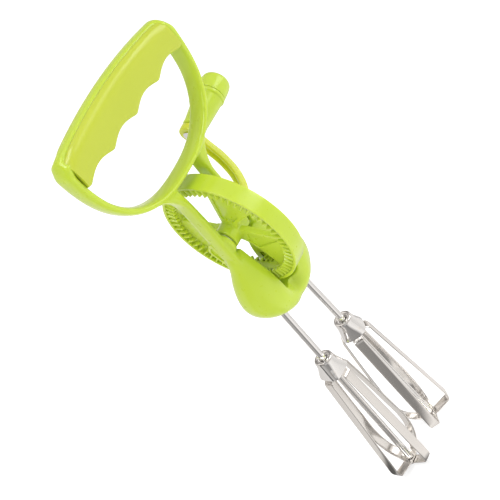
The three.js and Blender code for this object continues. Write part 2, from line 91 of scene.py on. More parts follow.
HANDLE_HALF_WIDTH, HANDLE_CENTRE, HANDLE_DROP = 47.2, 94.9, 53.9
HANDLE_ROUNDNESS, HANDLE_TOP, HANDLE_CROWN, HANDLE_SHOULDER = 2.5, 102.9, 0.0023, 91.0
BAND_SIDE, BAND_BOTTOM, BAND_TOP = 4.4, 3.6, 3.9
HANDLE_HALF_DEPTH, CORNER_HALF_DEPTH, TOP_HALF_DEPTH = 5.7, 6.4, 3.0
LOOP_CENTRE = (0.0, 85.0)                  # the D is drawn by its reach from here
OUTER_CUT, INNER_CUT, SHOULDER_BLUR = 3.9, 2.6, 2.2
BAND_ROUNDNESS, TOP_OUTSIDE, GRIP_SIDE = 2.35, 3.95, 4.75  # powers of the band's section

GRIP_HALF_LENGTH, GRIP_BOTTOM, GRIP_HALF_DEPTH = 42.4, 81.0, 7.4
FINGER_PITCH, FINGER_DEPTH = 20.4, 3.2

LEG_OUTER, LEG_INNER, LEG_HALF_DEPTH, LEG_TOP_FALL = 14.2, 9.2, 5.0, 0.2
LEDGE_INSIDE, LEDGE_OUTSIDE, LEDGE_POCKET_FLOOR = 10.4, 13.7, 12.9
BOSS_RADIUS, BOSS_FACE = 6.8, 8.0
RING_SPACE, RING_CLEARANCE, HUB_SPACE, HUB_CLEARANCE = 6.6, 1.2, 8.0, 1.0
AXLE_BORE_RADIUS, AXLE_BORE_END = 2.65, -12.6
NOTCH_HALF_WIDTH, NOTCH_BOTTOM, NOTCH_CORNER = 6.6, -41.4, 4.6
YOKE_WAIST, BELLY_WAIST, BULB_CENTRE = 0.6, 0.2, 13.0
WAIST_LOW, WAIST_HIGH, YOKE_ROUNDNESS = -51, -42, 2.4
YOKE_SECTIONS = [
    (2, 2.4, -56), (8, 7.4, -54.8), (13.4, 10.3, -52.2), (18.8, 12.2, -48.2), (23, 13.4, -42.6),
    (24.6, 13.8, -36.4), (23.7, 13.2, -30), (20.8, 11.6, -23), (17, 8.3, -15.5), (14.2, 5.2, -7),
]

GEAR_RADIUS, GEAR_HALF_WIDTH, GEAR_BAND, GEAR_TEETH = 36.0, 4.65, 1.5, 60
TOOTH_ROOT, TOOTH_TIP, TOOTH_INNER = 2.4, 4.55, 29.4
HUB_RADIUS, HUB_HALF_LENGTH, AXLE_RADIUS, AXLE_END = 6.2, 7.0, 2.5, 19.2
SPOKE_HALF_THICKNESS, SPOKE_POCKET, SPOKE_TURNS = 1.7, 0.7, (30, 120, -105)
SPOKE_OUTLINE = [
    (3.8, 0), (4, 4.6), (8.6, 26), (9.4, 29), (0, 29.9), (-10, 28.2), (-16, 25.2), (-14.2, 22.6),
    (-11, 18.6), (-7.3, 13.8), (-4.8, 9.4), (-3.8, 4), (-3.8, 0),
]
POCKET_OUTLINE = [(6.6, 26.6), (3.4, 9.4), (-2.8, 9.4), (-6, 15)]

PINION_TEETH, PINION_TIP, PINION_ROOT = 12, 7.4, 4.9
PINION_TOP, PINION_LENGTH = -28.7, 5.2
SHAFT_RADIUS, SHAFT_OFFSET, SHAFT_SPLAY, SHAFT_TOP = 1.95, 9.9, math.radians(1.6), -20.0

CRANK_LEAN, CRANK_RADIUS, CRANK_HALF_WIDTH, CRANK_THICKNESS = math.radians(35), 41.0, 3.6, 3.8
CRANK_HUB_RADIUS, CRANK_HUB_FACE = 5.2, 19.8
CRANK_PATH = [(17.2, 2), (22.6, 6), (27.3, 13), (30.4, 22), (32.1, 32), (34, 41)]
KNOB_TILT, KNOB_BASE, KNOB_SPLIT, KNOB_END = math.radians(5), 36.4, 58.0, 69.35

CAP_TOP, CAP_BOTTOM = -93.5, -105.0
WING_HALF_WIDTH, WING_THICKNESS, WING_RADIUS = 2.8, 0.8, 15.0
WING_SHOULDER, WING_CORNER, BEATER_BOTTOM = -107.4, -187.6, -192.2
FAR_BEATER_TURN = math.pi / 4


# ---------------------------------------------------------------- mesh helpers
def put(points):
    """Millimetres from the axle's centre to metres in the row frame."""
    out = np.array(points, float).reshape(-1, 3) * MM
    out[:, 2] -= GRIP_HEIGHT * MM
    return out


def mesh_object(name, points, faces):
    data = bpy.data.meshes.new(name)
    data.from_pydata([tuple(p) for p in put(points)], [], faces)
    data.validate()
    thing = bpy.data.objects.new(name, data)
    bpy.context.scene.collection.objects.link(thing)
    outward(thing)
    return thing


def outward(thing):
    """Merges points that meet and turns every face outward."""
    made = bmesh.new()
    made.from_mesh(thing.data)
    bmesh.ops.remove_doubles(made, verts=made.verts, dist=1e-7)
    bmesh.ops.dissolve_degenerate(made, edges=made.edges, dist=1e-8)
    bmesh.ops.recalc_face_normals(made, faces=made.faces)
    made.to_mesh(thing.data)
    made.free()


def loft(name, rings, closed=False, capped=True):
    """A skin over rings of equal length. closed joins the last ring to the first."""
    count, steps = len(rings[0]), len(rings)
    faces = []
    for i in range(steps if closed else steps - 1):
        here, there = i * count, (i + 1) % steps * count
        for j in range(count):
            k = (j + 1) % count
            faces.append((here + j, here + k, there + k, there + j))
    if capped and not closed:
        faces.append(tuple(range(count)))
        faces.append(tuple((steps - 1) * count + j for j in range(count)))
    return mesh_object(name, np.concatenate([np.array(r, float) for r in rings]), faces)


def round_corners(profile, radius, steps=4):
    """An open line of points with each inner corner replaced by a short curve."""
    points = [np.array(p, float) for p in profile]
    out = [points[0]]
    for before, here, after in zip(points, points[1:], points[2:]):
        back, ahead = before - here, after - here
        reach = min(radius, 0.45 * np.linalg.norm(back), 0.45 * np.linalg.norm(ahead))
        start = here + back / np.linalg.norm(back) * reach
        end = here + ahead / np.linalg.norm(ahead) * reach
        for t in np.linspace(0, 1, steps + 1):
            out.append((1 - t) ** 2 * start + 2 * t * (1 - t) * here + t * t * end)
    out.append(points[-1])
    return out


def lathe(name, profile, axis="z", segments=64, rounding=0.25):
    """A profile of (radius, place along the axis) turned round X or Z, its corners rounded."""
    line = round_corners(profile, rounding) if rounding else [np.array(p, float) for p in profile]
    turns = [2 * math.pi * i / segments for i in range(segments)]
    ring_of = {
        "x": lambda r, t: [(t, r * math.cos(a), r * math.sin(a)) for a in turns],
        "z": lambda r, t: [(r * math.cos(a), r * math.sin(a), t) for a in turns],
    }[axis]
    closed = np.allclose(profile[0], profile[-1])
    rings = [ring_of(max(r, 1e-4), t) for r, t in (line[:-1] if closed else line)]
    return loft(name, rings, closed=closed, capped=not closed)


def bar(name, radius, low, high, axis="x", segments=48, rounding=0):
    """A plain round bar from low to high along X or Z."""
    return lathe(name, [(0, low), (radius, low), (radius, high), (0, high)], axis, segments, rounding)


def spline(points, count):
    """A smooth curve through points, as the CAD's own spline is drawn."""
    given = [np.array(p, float) for p in points]
    padded = [2 * given[0] - given[1], *given, 2 * given[-1] - given[-2]]
    out = []
    for i in range(count + 1):
        at = (len(given) - 1) * i / count
        k = min(int(at), len(given) - 2)
        t, (a, b, c, d) = at - k, padded[k:k + 4]
        square, cube = 2 * a - 5 * b + 4 * c - d, 3 * b - a - 3 * c + d
        out.append(0.5 * (2 * b + (c - a) * t + square * t ** 2 + cube * t ** 3))
    return np.array(out)


def super_ellipse(half_a, half_b, power, steps):
    angles = 2 * math.pi * (np.arange(steps) + 0.5) / steps
    c, s = np.cos(angles), np.sin(angles)
    return half_a * np.sign(c) * abs(c) ** (2 / power), half_b * np.sign(s) * abs(s) ** (2 / power)


def smooth_step(value, low, high):
    t = np.clip((np.asarray(value, float) - low) / (high - low), 0, 1)
    return t * t * (3 - 2 * t)


def blend(start, end, share):
    return start + (end - start) * share


def prism(name, outline, axis, low, high):
    """An outline of (x, z) run along Y, or of (y, z) run along X."""
    at = {"y": lambda a, b, t: (a, t, b), "x": lambda a, b, t: (t, a, b)}[axis]
    return loft(name, [[at(a, b, t) for a, b in outline] for t in (low, high)])


def moved(thing, matrix):
    """Moves a mesh by a matrix given in millimetres from the axle's centre."""
    lift = Matrix.Translation((0, 0, -GRIP_HEIGHT * MM))
    scaled = matrix.copy()
    scaled.translation = matrix.translation * MM
    thing.data.transform(lift @ scaled @ lift.inverted())
    return thing


def apply_modifiers(thing):
    bpy.context.view_layer.update()
    seen = thing.evaluated_get(bpy.context.evaluated_depsgraph_get())
    data = bpy.data.meshes.new_from_object(seen)
    thing.modifiers.clear()
    thing.data = data
    return thing


def cut(thing, cutter, operation="DIFFERENCE"):
    step = thing.modifiers.new("cut", "BOOLEAN")
    step.operation, step.solver, step.object = operation, "EXACT", cutter
    apply_modifiers(thing)
    bpy.data.objects.remove(cutter)
    return thing


def together(name, things):
    """Several meshes as one object."""
    made = bmesh.new()
    for thing in things:
        made.from_mesh(thing.data)
    data = bpy.data.meshes.new(name)
    made.to_mesh(data)
    made.free()
    for thing in things:
        bpy.data.objects.remove(thing)
    whole = bpy.data.objects.new(name, data)
    bpy.context.scene.collection.objects.link(whole)
    return whole


def fused(thing, voxel, passes):
    """One skin round overlapping solids, its inner corners filleted by smoothing."""
    step = thing.modifiers.new("fuse", "REMESH")
    step.mode, step.voxel_size, step.adaptivity = "VOXEL", voxel * MM, 0
    if passes:
        soft = thing.modifiers.new("soften", "SMOOTH")
        soft.factor, soft.iterations = 0.5, passes
    return apply_modifiers(thing)


def shade(thing, angle):
    """Smooth faces, with creases left where the surface turns by more than the angle."""
    data = thing.data
    data.polygons.foreach_set("use_smooth", [True] * len(data.polygons))
    data.set_sharp_from_angle(angle=math.radians(angle))


def finish_piece(thing, material, body, slot, *nodes, angle=40):
    shade(thing, angle)
    thing.data.materials.clear()
    thing.data.materials.append(material)
    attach(thing, body)
    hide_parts(*nodes)


# ---------------------------------------------------------------- materials
class Nodes:
    """A short way to write one material's node tree."""

    def __init__(self, name):
        self.material = bpy.data.materials.new(name)
        self.material.use_nodes = True
        self.tree = self.material.node_tree
        self.shader = self.tree.nodes["Principled BSDF"]
        self.place = self.add("ShaderNodeTexCoord").outputs["Object"]

    def add(self, kind, **settings):
        node = self.tree.nodes.new(kind)
        for key, value in settings.items():
            setattr(node, key, value)
        return node

    def link(self, a, b):
        self.tree.links.new(a, b)

    def stretched(self, scale):
        node = self.add("ShaderNodeMapping")
        node.inputs["Scale"].default_value = scale
        self.link(self.place, node.inputs["Vector"])
        return node.outputs["Vector"]

    def noise(self, scale, detail=2.0, where=None):
        node = self.add("ShaderNodeTexNoise")
        node.inputs["Scale"].default_value = scale
        node.inputs["Detail"].default_value = detail
        self.link(where or self.place, node.inputs["Vector"])
        return node.outputs["Fac"]

    def ramp(self, value, low, high):
        """A number remapped from the middle of its range to low..high."""
        node = self.add("ShaderNodeMapRange")
        node.inputs["From Min"].default_value = 0.3
        node.inputs["From Max"].default_value = 0.7
        node.inputs["To Min"].default_value = low
        node.inputs["To Max"].default_value = high
        self.link(value, node.inputs["Value"])
        return node.outputs["Result"]

    def mix(self, amount, a, b):
        """One colour shading into another."""
        node = self.add("ShaderNodeMix", data_type="RGBA")
        node.inputs["A"].default_value = (*a, 1)
        node.inputs["B"].default_value = (*b, 1)
        self.link(amount, node.inputs["Factor"])
        return node.outputs["Result"]

    def bump(self, height, strength, distance):
        node = self.add("ShaderNodeBump")
        node.inputs["Strength"].default_value = strength
        node.inputs["Distance"].default_value = distance
        self.link(height, node.inputs["Height"])
        self.link(node.outputs["Normal"], self.shader.inputs["Normal"])

    def set(self, **values):
        for key, value in values.items():
            self.shader.inputs[key.replace("_", " ")].default_value = value


def moulded(name, light, deep, roughness, glow):
    """Injection-moulded plastic: flow clouds in the colour, a soft orange peel, and light that seeps in."""
    n = Nodes(name)
    clouds = n.noise(38, 3)
    n.link(n.mix(n.ramp(clouds, 0.0, 1.0), light, deep), n.shader.inputs["Base Color"])
    n.link(n.ramp(n.noise(420, 2), roughness - 0.03, roughness + 0.05), n.shader.inputs["Roughness"])
    n.bump(n.noise(300, 2), 0.06, 0.00004)
    n.set(Subsurface_Weight=glow, Subsurface_Radius=(1.0, 0.9, 0.25), Subsurface_Scale=0.004)
    n.set(Specular_IOR_Level=0.35, Coat_Weight=0.7, Coat_Roughness=0.15)
    return n.material


def steel(name, tone, roughness, streak=(60, 60, 4)):
    """Polished stainless: fine drawn streaks in the gloss and a slow tarnish in the colour."""
    n = Nodes(name)
    dark = tuple(0.95 * c for c in tone)
    n.link(n.mix(n.ramp(n.noise(30, 3), 0.0, 1.0), tone, dark), n.shader.inputs["Base Color"])
    lines = n.noise(18, 4, n.stretched(streak))
    n.link(n.ramp(lines, roughness - 0.04, roughness + 0.07), n.shader.inputs["Roughness"])
    n.bump(lines, 0.02, 0.00002)
    n.set(Metallic=1.0)
    return n.material


LIME = moulded("lime_plastic", (0.555, 0.705, 0.046), (0.54, 0.69, 0.041), 0.3, glow=0.25)
GRIP_LIME = moulded("grip_plastic", (0.55, 0.625, 0.042), (0.535, 0.61, 0.038), 0.34, glow=0.15)
THIN_LIME = moulded("lime_thin_walls", (0.66, 0.71, 0.03), (0.64, 0.69, 0.026), 0.3, glow=0.3)
NYLON = moulded("nylon", (0.82, 0.80, 0.73), (0.80, 0.78, 0.71), 0.45, glow=0.1)
STEEL = steel("bright_steel", (0.92, 0.91, 0.90), 0.1)
STRIP_STEEL = steel("strip_steel", (0.87, 0.845, 0.815), 0.13, streak=(40, 40, 3))


# ---------------------------------------------------------------- the moulded frame
def d_outline(half_width, drop, top, shoulder_cut):
    """The D's outline: a superellipse below its widest line and a bowed top."""
    angles = math.pi * (1 + np.linspace(0, 1, 241))
    c, s = np.cos(angles), np.sin(angles)
    power = 2 / HANDLE_ROUNDNESS
    across, down = np.sign(c) * abs(c) ** power, abs(s) ** power
    below = np.stack([half_width * across, HANDLE_CENTRE - drop * down], 1)
    below = below[below[:, 1] < HANDLE_SHOULDER]
    x = np.linspace(half_width - shoulder_cut, shoulder_cut - half_width, 121)
    above = np.stack([x, top - HANDLE_CROWN * x * x], 1)
    return np.concatenate([below, above])


def reach(outline, centre, angles, blur):
    """Distance from the centre to the outline at each angle, its corners rounded by a blur in degrees."""
    rel = outline - centre
    around = np.mod(np.arctan2(rel[:, 1], rel[:, 0]), 2 * math.pi)
    order = np.argsort(around)
    dense = np.linspace(0, 2 * math.pi, 1440, endpoint=False)
    far = np.interp(dense, around[order], np.hypot(*rel.T)[order], period=2 * math.pi)
    width = int(round(blur * 4))
    kernel = np.hanning(2 * width + 3)[1:-1]
    far = np.convolve(np.tile(far, 3), kernel / kernel.sum(), "same")[1440:2880]
    return np.interp(angles, dense, far, period=2 * math.pi)


def band_section(half_thick, half_deep, outer_power, inner_power):
    """The band's section, with its own roundness outside and on the side that meets the grip."""
    outer, deep = super_ellipse(half_thick, half_deep, outer_power, 28)
    inner, inner_deep = super_ellipse(half_thick, half_deep, inner_power, 28)
    return np.where(outer > 0, outer, inner), np.where(outer > 0, deep, inner_deep)


def loop_reaches(angles):
    """How far the band's outside and inside lie from the loop's centre at each angle."""
    outside = d_outline(HANDLE_HALF_WIDTH - 0.3, HANDLE_DROP - 0.2, HANDLE_TOP, OUTER_CUT)
    half_width, drop = HANDLE_HALF_WIDTH - BAND_SIDE, HANDLE_DROP - BAND_BOTTOM
    inside = d_outline(half_width, drop, HANDLE_TOP - BAND_TOP, INNER_CUT)
    return [reach(line, np.array(LOOP_CENTRE), angles, SHOULDER_BLUR) for line in (outside, inside)]


def handle_loop():
    """The D's band: deepest at its top corners, thin where it crosses over the grip."""
    angles = np.linspace(0, 2 * math.pi, 360, endpoint=False)
    rings = []
    for angle, far, near in zip(angles, *loop_reaches(angles)):
        way = np.array((math.cos(angle), math.sin(angle)))
        middle = np.array(LOOP_CENTRE) + way * (far + near) / 2
        at_top = smooth_step(-abs(middle[0]), -42.8, -38.5) * (middle[1] > 90)
        at_corner = smooth_step(middle[1], 76, 93)
        beside_grip = smooth_step(middle[1], 66, 84)
        depth = blend(blend(HANDLE_HALF_DEPTH, CORNER_HALF_DEPTH, at_corner), TOP_HALF_DEPTH, at_top)
        outer_power = blend(BAND_ROUNDNESS, TOP_OUTSIDE, at_top)
        inner_power = blend(BAND_ROUNDNESS, GRIP_SIDE, beside_grip)
        thick, deep = band_section((far - near) / 2, depth, outer_power, inner_power)
        rings.append([(middle[0] + way[0] * t, d, middle[1] + way[1] * t) for t, d in zip(thick, deep)])
    return loft("handle_loop", rings, closed=True)


def leg(side):
    """One leg: a bar with rounded edges that spreads into the D above and into the yoke below."""
    outer = spline([(25, 46.4), (18.2, 41.0), (13.6, 33.5), (12.7, 24), (13.6, 2), (14.2, -16)], 40)
    rings = []
    for x, z in outer:
        inner_x = LEG_INNER + 0.2 - 0.4 * smooth_step(-z, -40, 0)
        middle, half = (x + inner_x) / 2, (x - inner_x) / 2
        fall = LEG_TOP_FALL * smooth_step(z, 30, 46)
        thick, deep = super_ellipse(half, LEG_HALF_DEPTH, 3.2, 32)
        rings.append([(side * (middle + t), d, z - fall * (half - t)) for t, d in zip(thick, deep)])
    return loft("leg", rings)


def ledge(side):
    """The step on a leg's back edge, where the leg starts to spread into the yoke."""
    outline = [(2.6, 4.6), (5, 3.6), (8.3, -0.4), (8.3, -3.2), (6.2, -9), (5, -13), (2.6, -13)]
    return prism("ledge", outline, "x", *sorted((side * LEDGE_INSIDE, side * LEDGE_OUTSIDE)))


def ledge_pocket(side):
    outline = [(3.4, 1.6), (5.2, 1.4), (7.2, -0.9), (7.2, -3), (5.2, -8.4), (3.4, -8.4)]
    rounded = round_corners([*outline, outline[0]], 0.5)
    return prism("ledge_pocket", rounded, "x", *sorted((side * LEDGE_POCKET_FLOOR, side * 17)))


def yoke():
    """The body round the pinions, pinched at its middle into a bulb for each."""
    sections = spline(YOKE_SECTIONS, 64)
    rings = []
    for half_x, half_y, z in sections:
        x, y = super_ellipse(half_x, half_y, YOKE_ROUNDNESS, 96)
        waist = blend(BELLY_WAIST, YOKE_WAIST, smooth_step(z, WAIST_LOW, WAIST_HIGH))
        pinch = 1 - waist * np.maximum(0, 1 - abs(x) / BULB_CENTRE) ** 2
        rings.append([(a, b, z) for a, b in zip(x, y * pinch)])
    return loft("yoke", rings)


def notch_outline():
    side, floor, corner = NOTCH_HALF_WIDTH, NOTCH_BOTTOM, NOTCH_CORNER
    line = [(-side, 2), (-side, floor), (side, floor), (side, 2)]
    return round_corners(line, corner, 8)


def shaft_frame(side):
    """The frame that stands on a shaft's axis: Z along the shaft, the axle's height at 0."""
    turn = Matrix.Rotation(-side * SHAFT_SPLAY, 4, "Y")
    turn.translation = (side * SHAFT_OFFSET, 0, 0)
    return turn


def pinion_space(side):
    """A blind bearing above, the pinion's room, and a seat for the bush below."""
    bore = SHAFT_RADIUS + 0.15
    profile = [(0, -19.5), (bore, -19.5), (bore, -27.6), (8.2, -27.6), (8.2, -37.2), (bore, -37.2),
               (bore, -42.2), (4.1, -42.2), (4.1, -70), (0, -70)]
    return moved(lathe("pinion_space", profile, "z", 64, 0), shaft_frame(side))


def handle_frame():
    bosses = [bar("boss", BOSS_RADIUS, s * 8.1, s * 10.2, segments=64, rounding=0.25) for s in (-1, 1)]
    solids = [handle_loop(), leg(-1), leg(1), yoke(), *bosses]
    skin = fused(together("frame_skin", solids), 0.5, 5)
    cut(skin, prism("notch", notch_outline(), "y", -20, 20))
    cut(skin, bar("ring_sweep", GEAR_RADIUS + RING_CLEARANCE, -RING_SPACE, RING_SPACE, "x", 160, 1.0))
    cut(skin, bar("hub_sweep", HUB_RADIUS + HUB_CLEARANCE, -HUB_SPACE, HUB_SPACE, "x", 96))
    rounded = fused(skin, 0.42, 3)
    for side in (-1, 1):
        cut(rounded, ledge(side), "UNION")
        cut(rounded, ledge_pocket(side))
        cut(rounded, pinion_space(side))
    cut(rounded, bar("axle_bore", AXLE_BORE_RADIUS, AXLE_BORE_END, 30))
    rounded.name = "moulded_frame"
    return rounded


finish_piece(handle_frame(), LIME, "frame", "lime_plastic", "handle_frame")


# ---------------------------------------------------------------- the grip
def grip_insert():
    """The grip: a pad that wells out from under the D's top band, with four finger grooves below."""
    rings = []
    for x in np.linspace(-GRIP_HALF_LENGTH, GRIP_HALF_LENGTH, 181):
        wave = math.sqrt(math.sin(math.pi * x / FINGER_PITCH) ** 2 + 0.015)
        low = GRIP_BOTTOM + FINGER_DEPTH * wave
        top = HANDLE_TOP - HANDLE_CROWN * x * x - 0.8 * smooth_step(abs(x), 34, 42)
        half = GRIP_HALF_DEPTH
        side = [(0.0, top - 3.4), (2.2, top - 2.0), (3.0, top - 0.9), (4.2, top - 1.0), (5.5, top - 2.0),
                (6.5, top - 3.9), (7.1, top - 6.5), (half - 0.05, top - 9.5), (half, low + 6),
                (half - 0.15, low + 2.4), (half - 0.7, low + 0.9), (half - 2.4, low + 0.15), (2.4, low),
                (0.0, low - 0.05)]
        curve = spline(side, 40)
        ring = [(x, y, z) for y, z in curve] + [(x, -y, z) for y, z in curve[-2:0:-1]]
        rings.append(ring)
    return loft("grip_pad", rings)


finish_piece(grip_insert(), GRIP_LIME, "frame", "grip_plastic", "grip_insert", angle=50)


# ---------------------------------------------------------------- the drive gear and its pinions
def gear_band():
    inner, band, ring = GEAR_RADIUS - GEAR_BAND, GEAR_HALF_WIDTH, TOOTH_ROOT
    profile = [(TOOTH_INNER, -ring), (inner, -ring), (inner, -band), (GEAR_RADIUS, -band),
               (GEAR_RADIUS, band), (inner, band), (inner, ring), (TOOTH_INNER, ring), (TOOTH_INNER, -ring)]
    return lathe("gear_band", profile, "x", 240, 0.35)


def crown_tooth(side, turn):
    """One tooth of the crown: it stands on the ring's face and narrows to a rounded crest."""
    rings = []
    band_inside = GEAR_RADIUS - GEAR_BAND
    for radius in (TOOTH_INNER + 0.15, TOOTH_INNER + 0.5, band_inside - 0.4, band_inside + 0.1):
        short = 0.25 if radius < TOOTH_INNER + 0.3 else 0.0
        section = [(-0.92, TOOTH_ROOT - 0.3), (-0.62, TOOTH_ROOT + 1.0), (-0.42, TOOTH_TIP - 0.25 - short),
                   (-0.22, TOOTH_TIP - short), (0.22, TOOTH_TIP - short), (0.42, TOOTH_TIP - 0.25 - short),
                   (0.62, TOOTH_ROOT + 1.0), (0.92, TOOTH_ROOT - 0.3)]
        rings.append([(side * x, y, -radius) for y, x in section])
    tooth = loft("tooth", rings)
    return moved(tooth, Matrix.Rotation(turn, 4, "X"))


def spoke_cut(outline, low, high, degrees):
    return moved(prism("spoke", outline, "x", low, high), Matrix.Rotation(math.radians(degrees), 4, "X"))


def gear_web():
    """Spokes, hub and inner rim in one skin with soft fillets, and a crisp pocket in each spoke's faces."""
    half, floor = SPOKE_HALF_THICKNESS, SPOKE_HALF_THICKNESS - SPOKE_POCKET
    rim = [(29.2, -2.2), (30.4, -2.2), (30.4, 2.2), (29.2, 2.2), (29.2, -2.2)]
    hub = bar("hub", HUB_RADIUS, -HUB_HALF_LENGTH, HUB_HALF_LENGTH, "x", 96, 0.6)
    solids = [hub, lathe("rim", rim, "x", 160, 0.3)]
    solids += [spoke_cut(SPOKE_OUTLINE, -half, half, turn) for turn in SPOKE_TURNS]
    web = fused(together("web", solids), 0.4, 3)
    for turn in SPOKE_TURNS:
        cut(web, spoke_cut(POCKET_OUTLINE, -half - 1, -floor, turn))
        cut(web, spoke_cut(POCKET_OUTLINE, floor, half + 1, turn))
    return cut(web, bar("bore", 2.7, -20, 20))


def drive_gear():
    pitch = 2 * math.pi / GEAR_TEETH
    teeth = [crown_tooth(side, (i + 0.5) * pitch) for i in range(GEAR_TEETH) for side in (-1, 1)]
    return together("crown_gear", [gear_web(), gear_band(), *teeth])


def pinion_blank():
    pitch = 2 * math.pi / PINION_TEETH
    rising = [(-0.3, PINION_ROOT), (-0.205, PINION_ROOT + 0.6), (-0.14, PINION_ROOT + 1.6),
              (-0.075, PINION_TIP - 0.2), (-0.03, PINION_TIP)]
    flanks = rising + [(-share, radius) for share, radius in reversed(rising)]
    rings = []
    low = PINION_TOP - PINION_LENGTH
    for z, shrink in ((low, 0.3), (low + 0.3, 0), (PINION_TOP - 0.3, 0), (PINION_TOP, 0.3)):
        spots = [((i + share) * pitch, r - shrink) for i in range(PINION_TEETH) for share, r in flanks]
        rings.append([(r * math.cos(angle), r * math.sin(angle), z) for angle, r in spots])
    blank = loft("pinion", rings)
    return cut(blank, bar("bore", 2.2, -60, 0, "z"))


finish_piece(drive_gear(), LIME, "crank", "lime_plastic", "drive_gear", angle=35)


# ---------------------------------------------------------------- the crank, its knob and their steel
def crank_turn():
    return Matrix.Rotation(-CRANK_LEAN, 4, "X")


def knob_turn():
    tilt = Matrix.Rotation(-KNOB_TILT, 4, "Y")
    base = Matrix.Translation((KNOB_BASE, 0, CRANK_RADIUS))
    return crank_turn() @ base @ tilt @ Matrix.Translation((-KNOB_BASE, 0, 0))


def crank_arm():
    """A bowed arm, its inner face a channel between two ribs, fused to a hub and an end boss."""
    path = spline(CRANK_PATH, 72)
    way = np.gradient(path, axis=0)
    way /= np.linalg.norm(way, axis=1)[:, None]
    half, rib, floor = CRANK_HALF_WIDTH, 1.5, 1.7
    crest = CRANK_THICKNESS
    section = [(-half, 0.7), (-half, crest - 0.7), (-half + 0.4, crest), (-half + rib, crest),
               (-half + rib + 0.3, crest - 0.5), (-half + rib + 0.5, floor), (half - rib - 0.5, floor),
               (half - rib - 0.3, crest - 0.5), (half - rib, crest), (half - 0.4, crest),
               (half, crest - 0.7), (half, 0.7), (half - 0.7, 0), (-half + 0.7, 0)]
    rings = []
    for (x, z), (dx, dz) in zip(path, way):
        out = CRANK_THICKNESS / 2
        rings.append([(x + dz * (out - t), w, z - dx * (out - t)) for w, t in section])
    to_knob = crank_turn().inverted() @ knob_turn()
    hub = bar("crank_hub", CRANK_HUB_RADIUS, 15.6, CRANK_HUB_FACE, "x", 96, 0.8)
    end = moved(bar("crank_end", 6.2, 31.9, KNOB_BASE - 0.4, "x", 96, 0.7), to_knob)
    arm = fused(together("arm", [loft("arm_bar", rings), hub, end]), 0.36, 4)
    for radius, low, high in ((2.2, 20, 50), (3.8, 26, 31.8)):
        cut(arm, moved(bar("pin_hole", radius, low, high), to_knob))
    for radius, low, high in ((2.75, 0, 40), (3.4, AXLE_END + 0.1, 27)):
        cut(arm, bar("axle_hole", radius, low, high))
    arm.name = "bowed_crank_arm"
    return moved(arm, crank_turn())


def knob():
    profile = [(2.15, KNOB_BASE), (5.5, KNOB_BASE), (6.2, KNOB_BASE + 0.8), (6.1, KNOB_BASE + 3), (6.5, 44),
               (7.1, 51), (7.5, 55.7), (8.1, 56.3), (8.1, 57.6), (7.95, KNOB_SPLIT), (4.4, KNOB_SPLIT),
               (4.4, 54), (2.15, 54), (2.15, KNOB_BASE)]
    return moved(lathe("tapered_knob", profile, "x", 128, 0.4), knob_turn())


def knob_cap():
    dome = spline([(7.95, 61), (7.85, 64), (7.2, 66.8), (5.2, 68.55), (2.4, 69.2), (0.0, KNOB_END)], 24)
    seam = KNOB_SPLIT + 0.25
    profile = [(0, 56.9), (4.1, 56.9), (4.1, seam), (7.85, seam), (7.95, seam + 0.25), *dome]
    return moved(lathe("domed_knob_cap", profile, "x", 128, 0.2), knob_turn())


def knob_pin():
    profile = [(0, 31.2), (3.4, 31.2), (3.4, 31.6), (2, 31.6), (2, 54.3), (4, 54.3), (4, 55.6), (0, 56.2)]
    return moved(lathe("headed_knob_pin", profile, "x", 64, 0.15), knob_turn())


def crank_screw():
    seat = AXLE_END + 0.3
    profile = [(0, 14.5), (1.1, 14.5), (1.1, seat), (3.1, seat), (3.1, seat + 0.6), (2.4, seat + 1.2),
               (0, seat + 1.4)]
    screw = lathe("crossed_screw", profile, "x", 64, 0.15)
    for turn in (0, 90):
        slot = prism("slot", [(-1.7, -0.32), (1.7, -0.32), (1.7, 0.32), (-1.7, 0.32)], "x", seat + 0.8, 24)
        cut(screw, moved(slot, Matrix.Rotation(math.radians(turn + 20), 4, "X")))
    return screw


def axle():
    profile = [(0, -12), (AXLE_RADIUS - 0.4, -12), (AXLE_RADIUS, -11.6), (AXLE_RADIUS, AXLE_END),
               (1.5, AXLE_END), (1.5, 14), (0, 14)]
    return lathe("turned_axle", profile, "x", 64, 0.12)


def washer(name, outer, inner, axis, low, high):
    profile = [(inner, low), (outer, low), (outer, high), (inner, high), (inner, low)]
    return lathe(name, profile, axis, 72, 0.12)


finish_piece(crank_arm(), THIN_LIME, "crank", "lime_plastic", "crank_arm")
finish_piece(knob(), LIME, "knob", "lime_plastic", "knob")
finish_piece(knob_cap(), LIME, "knob", "lime_plastic", "knob_cap")
finish_piece(knob_pin(), STEEL, "crank", "steel", "knob_pin")
finish_piece(crank_screw(), STEEL, "crank", "steel", "crank_screw", angle=30)
finish_piece(axle(), STEEL, "crank", "steel", "axle")
near_washer = washer("hub_washer_near", 4.6, 2.8, "x", -BOSS_FACE + 0.2, -HUB_HALF_LENGTH - 0.2)
far_washer = washer("hub_washer_far", 4.6, 2.8, "x", HUB_HALF_LENGTH + 0.2, BOSS_FACE - 0.2)
outer_washer = washer("crank_side_washer", 4.6, 2.8, "x", LEG_OUTER + 0.4, LEG_OUTER + 1.1)
finish_piece(near_washer, NYLON, "crank", "nylon", "gear_washer_near")
finish_piece(far_washer, NYLON, "crank", "nylon", "gear_washer_far")
finish_piece(outer_washer, NYLON, "crank", "nylon", "crank_washer")


# ---------------------------------------------------------------- the beaters
def square_ring(half, power, z, steps=96):
    x, y = super_ellipse(half, half, power, steps)
    return [(a, b, z) for a, b in zip(x, y)]


